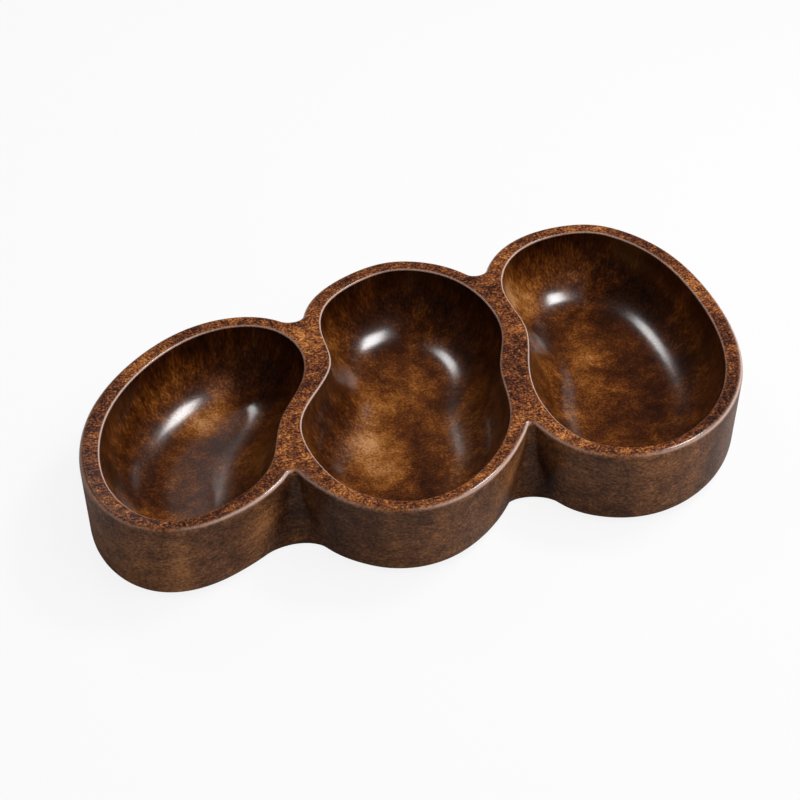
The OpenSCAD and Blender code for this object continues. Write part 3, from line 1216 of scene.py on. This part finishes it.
@dataclass
class Sweep:
    """What the outer wall and the hollows share: rings of a grid laid along guide loops."""

    body: CarvedBody
    tree: Tree
    size: dict[str, Value]

    def grid(self, stations: int, *steps: int) -> tuple[Socket, Value, list[Value]]:
        """Adds a grid whose rows are rings.

        Args:
            stations: How many points a ring has. One more column closes it.
            steps: How many rings each stage of the sweep takes, after the first ring.

        Returns:
            The grid, the station of each point, and how far it is through each stage.
        """
        rings = sum(steps) + 1
        counts = {"Vertices X": stations + 1, "Vertices Y": rings}
        mesh = self.tree.add("GeometryNodeMeshGrid", inputs=counts).outputs["Mesh"]
        index = Value(self.tree, self.tree.add("GeometryNodeInputIndex").outputs[0])
        ring = index % rings
        station = ((index - ring + 0.5) / rings).math("FLOOR") % stations
        starts = [sum(steps[:i]) for i in range(len(steps))]
        shares = [((ring - start) / count).clamped() for start, count in zip(starts, steps)]
        return mesh, station, shares

    def sampled(self, loop: Any, held: Any, station: Value) -> Socket:
        """Returns what a guide loop holds at a station."""
        node = self.tree.add(
            "GeometryNodeSampleIndex",
            {"data_type": "FLOAT_VECTOR", "domain": "POINT"},
            {"Geometry": loop, "Value": held, "Index": station},
        )
        return node.outputs[0]

    def place(self) -> Socket:
        """Returns the position of each point."""
        return self.tree.add("GeometryNodeInputPosition").outputs[0]

    def outward(self) -> Socket:
        """Returns the way out at each point of a guide loop."""
        node = self.tree.add(
            "GeometryNodeInputNamedAttribute", {"data_type": "FLOAT_VECTOR"}, {"Name": "outward"}
        )
        return node.outputs[0]

    def between(self, share: Value, first: Any, second: Any) -> Socket:
        """Returns the vector at a share of the way from the first to the second."""
        ends = {0: share, 4: first, 5: second}
        return self.tree.add("ShaderNodeMix", {"data_type": "VECTOR"}, ends).outputs[1]

    def lift(self, height: Value) -> Socket:
        """Returns the vector from the ground up to a height."""
        return self.tree.add("ShaderNodeCombineXYZ", inputs={"Z": height}).outputs[0]

    def moved(self, mesh: Any, **how: Any) -> Socket:
        """Returns a mesh whose points are put at a Position, or moved by an Offset."""
        return self.tree.add("GeometryNodeSetPosition", inputs={"Geometry": mesh, **how}).outputs[0]

    def joined(self, parts: list[Any]) -> Socket:
        """Joins meshes or curves.

        Args:
            parts: The meshes or curves.

        Returns:
            The joined geometry.
        """
        node = self.tree.add("GeometryNodeJoinGeometry")
        for part in reversed(parts):
            self.tree.feed(node.inputs[0], part)
        return node.outputs[0]

    def tagged(self, mesh: Any, shares: dict[Zone, Number]) -> Socket:
        """Stores named shares on a mesh's points, for the finish to read.

        Args:
            mesh: The mesh.
            shares: The share of each zone. A zone that isn't named has none.

        Returns:
            The mesh that carries them.
        """
        for zone in Zone:
            node = self.tree.add(
                "GeometryNodeStoreNamedAttribute",
                {"data_type": "FLOAT", "domain": "POINT"},
                {"Geometry": mesh, "Name": zone.value, "Value": shares.get(zone, 0.0)},
            )
            mesh = node.outputs[0]
        return mesh

    def inset_loop(self, loop: Any, inset: Value) -> Socket:
        """Draws a guide loop in.

        Args:
            loop: The loop.
            inset: How far it is drawn in.

        Returns:
            The loop as a curve.
        """
        inward = self.tree.scaled(self.outward(), inset * -1.0)
        drawn_in = self.moved(loop, Offset=inward)
        return self.tree.add("GeometryNodeMeshToCurve", inputs={0: drawn_in}).outputs[0]

    def filled(self, curves: list[Any], height: Value) -> Socket:
        """Fills the flat area between closed curves.

        Args:
            curves: The curves. A curve inside another is a hole.
            height: The height of the flat.

        Returns:
            The flat mesh.
        """
        curves_in = {0: self.joined(curves)}
        flat = self.tree.add("GeometryNodeFillCurve", {"mode": "TRIANGLES"}, curves_in).outputs[0]
        return self.moved(flat, Offset=self.lift(height))

    def drawn_in(self, place: Any, way: Any, inset: Value) -> Socket:
        """Returns points moved in from their places, against the way out, by an inset."""
        return self.tree.summed(place, self.tree.scaled(way, inset * -1.0))

    def raised(self, mesh: Any, plan: Any, height: Value) -> Socket:
        """Returns a mesh whose points are put at their plan points, at a height."""
        return self.moved(mesh, Position=self.tree.summed(plan, self.lift(height)))


@dataclass
class OuterWall(Sweep):
    """The lobed wall, with its rounded base and rim, and the flats above and below it."""

    def sweep(self, outlines: Any, stations: int) -> Socket:
        """Lays rings from the base's flat up to the rim's flat.

        Args:
            outlines: The outlines from the base to the rim, one row each. The rows lie closer to
                each other near the base, by the square root of the level.
            stations: How many points a row has.

        Returns:
            The wall.
        """
        body, size = self.body, self.size
        rounds, walls = body.round_rings, body.wall_rings
        mesh, station, shares = self.grid(stations, 1, rounds, walls, rounds, 1)
        base_share, low_share, climb, high_share, rim_share = shares
        low_angle = low_share * (math.pi / 2)
        high_angle = high_share * (math.pi / 2)
        flat = 1.0 - base_share + rim_share
        whole = size["Rim Level"] - size["Base Level"]
        straight = whole - size["Base Round"] - size["Rim Round"]
        rise = size["Base Round"] * (1.0 - low_angle.math("COSINE")) + straight * climb
        rise = rise + size["Rim Round"] * high_angle.math("SINE")
        inset = size["Base Round"] * (1.0 - low_angle.math("SINE")) + size["Support"] * flat
        inset = inset + size["Rim Roll"] * (1.0 - high_angle.math("COSINE"))
        last = body.outline_rows - 1
        row_place = (rise / whole).clamped().math("SQRT") * last
        row = row_place.math("FLOOR").math("MINIMUM", last - 1.0)
        lower = row * stations + station
        place, way = (
            self.between(
                row_place - row,
                self.sampled(outlines, held, lower),
                self.sampled(outlines, held, lower + stations),
            )
            for held in (self.place(), self.outward())
        )
        plan = self.drawn_in(place, way, inset)
        wall = self.raised(mesh, plan, size["Base Level"] + rise)
        edge = (high_share * math.pi).math("SINE")
        return self.tagged(wall, {Zone.WALL: 1.0 - high_share, Zone.EDGE: edge * edge * edge})

    def base(self, loop: Any) -> Socket:
        """Lays the flat under the block.

        Args:
            loop: The base's outline.

        Returns:
            The flat, facing down.
        """
        inset = self.size["Base Round"] + self.size["Support"]
        flat = self.filled([self.inset_loop(loop, inset)], self.size["Base Level"])
        down = self.tree.add("GeometryNodeFlipFaces", inputs={0: flat}).outputs[0]
        return self.tagged(down, {Zone.WALL: 1.0})

    def top(self, loop: Any, holes: list[Any]) -> Socket:
        """Lays the flat of the rim and the partitions.

        Args:
            loop: The rim's outline.
            holes: The loops where the hollows join it.

        Returns:
            The flat.
        """
        inset = self.size["Rim Roll"] + self.size["Support"]
        flat = self.filled([self.inset_loop(loop, inset), *holes], self.size["Rim Level"])
        return self.tagged(flat, {})


@dataclass
class HollowWall(Sweep):
    """A hollow: its rounded edge, leaning wall, floor radius and dished floor."""

    def sweep(self, loop: Any, stations: int, middle: Vector) -> Socket:
        """Lays rings from the rim's flat down to the middle of the floor.

        Args:
            loop: The hollow's edge at the rim.
            stations: How many points it has.
            middle: The plan point that the floor closes at.

        Returns:
            The hollow's surface.
        """
        body, size = self.body, self.size
        steps = (1, body.round_rings, body.hollow_wall_rings, body.fillet_rings, body.floor_rings)
        mesh, station, shares = self.grid(stations, *steps)
        rim_share, edge_share, wall_share, fillet_share, floor_share = shares
        tilt, floor_tilt = size["Wall Tilt"], size["Floor Tilt"]
        edge_round, floor_round = size["Edge Round"], size["Floor Round"]
        edge_angle = edge_share * (math.pi / 2 - tilt)
        at_edge = self.sampled(loop, self.place(), station)
        way = self.sampled(loop, self.outward(), station)
        centre = (middle.x, middle.y, 0.0)
        wall_top = edge_round * (1.0 - tilt.math("SINE"))
        fillet_depth = floor_round * (floor_tilt.math("COSINE") - tilt.math("SINE"))
        deep_wall = size["Hollow Depth"] - fillet_depth - wall_top
        floor_inset = deep_wall * tilt.math("TANGENT") - edge_round * (1.0 - tilt.math("COSINE"))
        floor_inset = floor_inset + floor_round * (tilt.math("COSINE") - floor_tilt.math("SINE"))
        run = self.tree.distance(at_edge, centre) - floor_inset
        floor_rise = run * floor_tilt.math("TANGENT") * 0.5
        wall_depth = deep_wall - floor_rise
        fillet_angle = tilt + fillet_share * (math.pi / 2 - floor_tilt - tilt)
        depth = edge_round * (1.0 - edge_angle.math("COSINE")) + wall_depth * wall_share
        depth = depth + floor_round * (fillet_angle.math("SINE") - tilt.math("SINE"))
        depth = depth + floor_rise * (1.0 - (1.0 - floor_share) * (1.0 - floor_share))
        inset = edge_round * (edge_angle.math("SINE") - 1.0) - size["Support"] * (1.0 - rim_share)
        inset = inset + wall_depth * tilt.math("TANGENT") * wall_share
        inset = inset + floor_round * (tilt.math("COSINE") - fillet_angle.math("COSINE"))
        plan = self.between(floor_share, self.drawn_in(at_edge, way, inset), centre)
        hollow = self.raised(mesh, plan, size["Rim Level"] - depth)
        edge = (edge_share * math.pi).math("SINE")
        return self.tagged(hollow, {Zone.HOLLOW: edge_share, Zone.EDGE: edge})

    def rim_loop(self, loop: Any) -> Socket:
        """Returns the loop where a hollow's surface joins the rim's flat."""
        return self.inset_loop(loop, (self.size["Edge Round"] + self.size["Support"]) * -1.0)


@dataclass
class FootPads:
    """The rubber pads under the base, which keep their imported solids."""

    finish: Finish = field(default_factory=RubberPad)

    def build(self) -> list[str]:
        """Dresses the pads.

        Returns:
            Their names.
        """
        rubber = self.finish.material()
        names = sorted(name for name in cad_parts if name.startswith("pad_"))
        for name in names:
            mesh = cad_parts[name].data
            mesh.materials.clear()
            mesh.materials.append(rubber)
        return names


@dataclass(frozen=True)
class Softbox:
    """A soft lamp, aimed at the bowl.

    Azimuth is its direction round the bowl in degrees, 0 from the front and 90 from the right.
    Elevation is its angle above the floor, in degrees, and power is in watts. The lacquer mirrors
    the lamp only if it shines.
    """

    name: str
    azimuth: float
    elevation: float
    distance: float
    sides: tuple[float, float]
    power: float
    shines: bool = True

    def hang(self) -> None:
        """Hangs the lamp in the scene."""
        data = bpy.data.lights.new(self.name, "AREA")
        data.shape = "RECTANGLE"
        data.size, data.size_y = self.sides
        data.energy = self.power
        lamp = placed(self.name, data)
        a, e = math.radians(self.azimuth), math.radians(self.elevation)
        away = Vector((math.sin(a) * math.cos(e), -math.cos(a) * math.cos(e), math.sin(e)))
        lamp.location = away * self.distance
        lamp.rotation_mode = "QUATERNION"
        lamp.rotation_quaternion = (-away).to_track_quat("-Z", "Y")
        lamp.visible_glossy = self.shines


@dataclass
class Studio:
    """The camera, the pale floor, and the soft lamps."""

    yaw: float = math.radians(21.51)
    elevation: float = math.radians(37.92)
    focal_pixels: float = 1928.75
    picture_pixels: float = 800.0
    pixel_size: float = 0.6435 * MM
    look_at: Vector = field(default_factory=lambda: Vector((8.43 * MM, 43.95 * MM, 0.0)))
    sensor_width: float = 36.0
    floor_side: float = 6.0
    room_light: float = 0.10
    mirrored_dimming: float = 0.08
    lamps: tuple[Softbox, ...] = (
        Softbox("key_softbox", 98.0, 54.0, 1.3, (0.36, 0.26), 7.2),
        Softbox("back_softbox", -174.0, 45.5, 1.3, (0.22, 0.20), 2.0),
        Softbox("side_softbox", 126.0, 25.0, 1.3, (0.26, 0.26), 0.12),
        Softbox("fill_softbox", 40.0, 62.0, 1.6, (1.2, 1.2), 15.0, shines=False),
    )

    def build(self) -> None:
        """Sets up the camera, the backdrop and the lamps."""
        self._camera()
        self._floor()
        self._world()
        for lamp in self.lamps:
            lamp.hang()

    def _camera(self) -> None:
        """Stands the camera where the photograph was taken from."""
        data = bpy.data.cameras.new("camera")
        data.sensor_width = self.sensor_width
        data.lens = self.focal_pixels / self.picture_pixels * self.sensor_width
        camera = placed("camera", data)
        ahead = Vector((
            math.sin(self.yaw) * math.cos(self.elevation),
            math.cos(self.yaw) * math.cos(self.elevation),
            -math.sin(self.elevation),
        ))
        camera.location = self.look_at - ahead * self.focal_pixels * self.pixel_size
        camera.rotation_mode = "QUATERNION"
        camera.rotation_quaternion = ahead.to_track_quat("-Z", "Y")
        bpy.context.scene.camera = camera

    def _floor(self) -> None:
        """Lays the pale floor under the pads."""
        half = self.floor_side / 2
        mesh = bpy.data.meshes.new("studio_floor")
        corners = [(-half, -half, 0.0), (half, -half, 0.0), (half, half, 0.0), (-half, half, 0.0)]
        mesh.from_pydata(corners, [], [(0, 1, 2, 3)])
        mesh.materials.append(PaleFloor().material())
        floor = placed("studio_floor", mesh)

    def _world(self) -> None:
        """Fills the room with weak light and shows the camera a white background."""
        world = bpy.data.worlds.new("studio_world")
        world.use_nodes = True
        world.node_tree.nodes.clear()
        tree = Tree(world.node_tree)
        path = tree.add("ShaderNodeLightPath")
        seen = Value(tree, path.outputs["Is Camera Ray"])
        shine = Value(tree, path.outputs["Is Glossy Ray"])
        strength = seen * (1.0 - self.room_light) - shine * self.mirrored_dimming + self.room_light
        white = (1.0, 1.0, 1.0, 1.0)
        light = tree.add("ShaderNodeBackground", inputs={"Color": white, "Strength": strength})
        tree.add("ShaderNodeOutputWorld", inputs={"Surface": light.outputs[0]})
        bpy.context.scene.world = world
        bpy.context.scene.view_settings.view_transform = "Standard"


def main() -> None:
    """Builds the bowl and its studio, and reports each piece."""
    logging.basicConfig(level=logging.INFO, format="%(message)s")
    Studio().build()
    body = CarvedBody(BowlPlan()).build()
    log.info("%s: %d faces", body.name, len(body.data.polygons))
    for name in FootPads().build():
        log.info("%s: packed solid", name)
    bpy.context.view_layer.update()


if __name__ == "__main__":
    main()
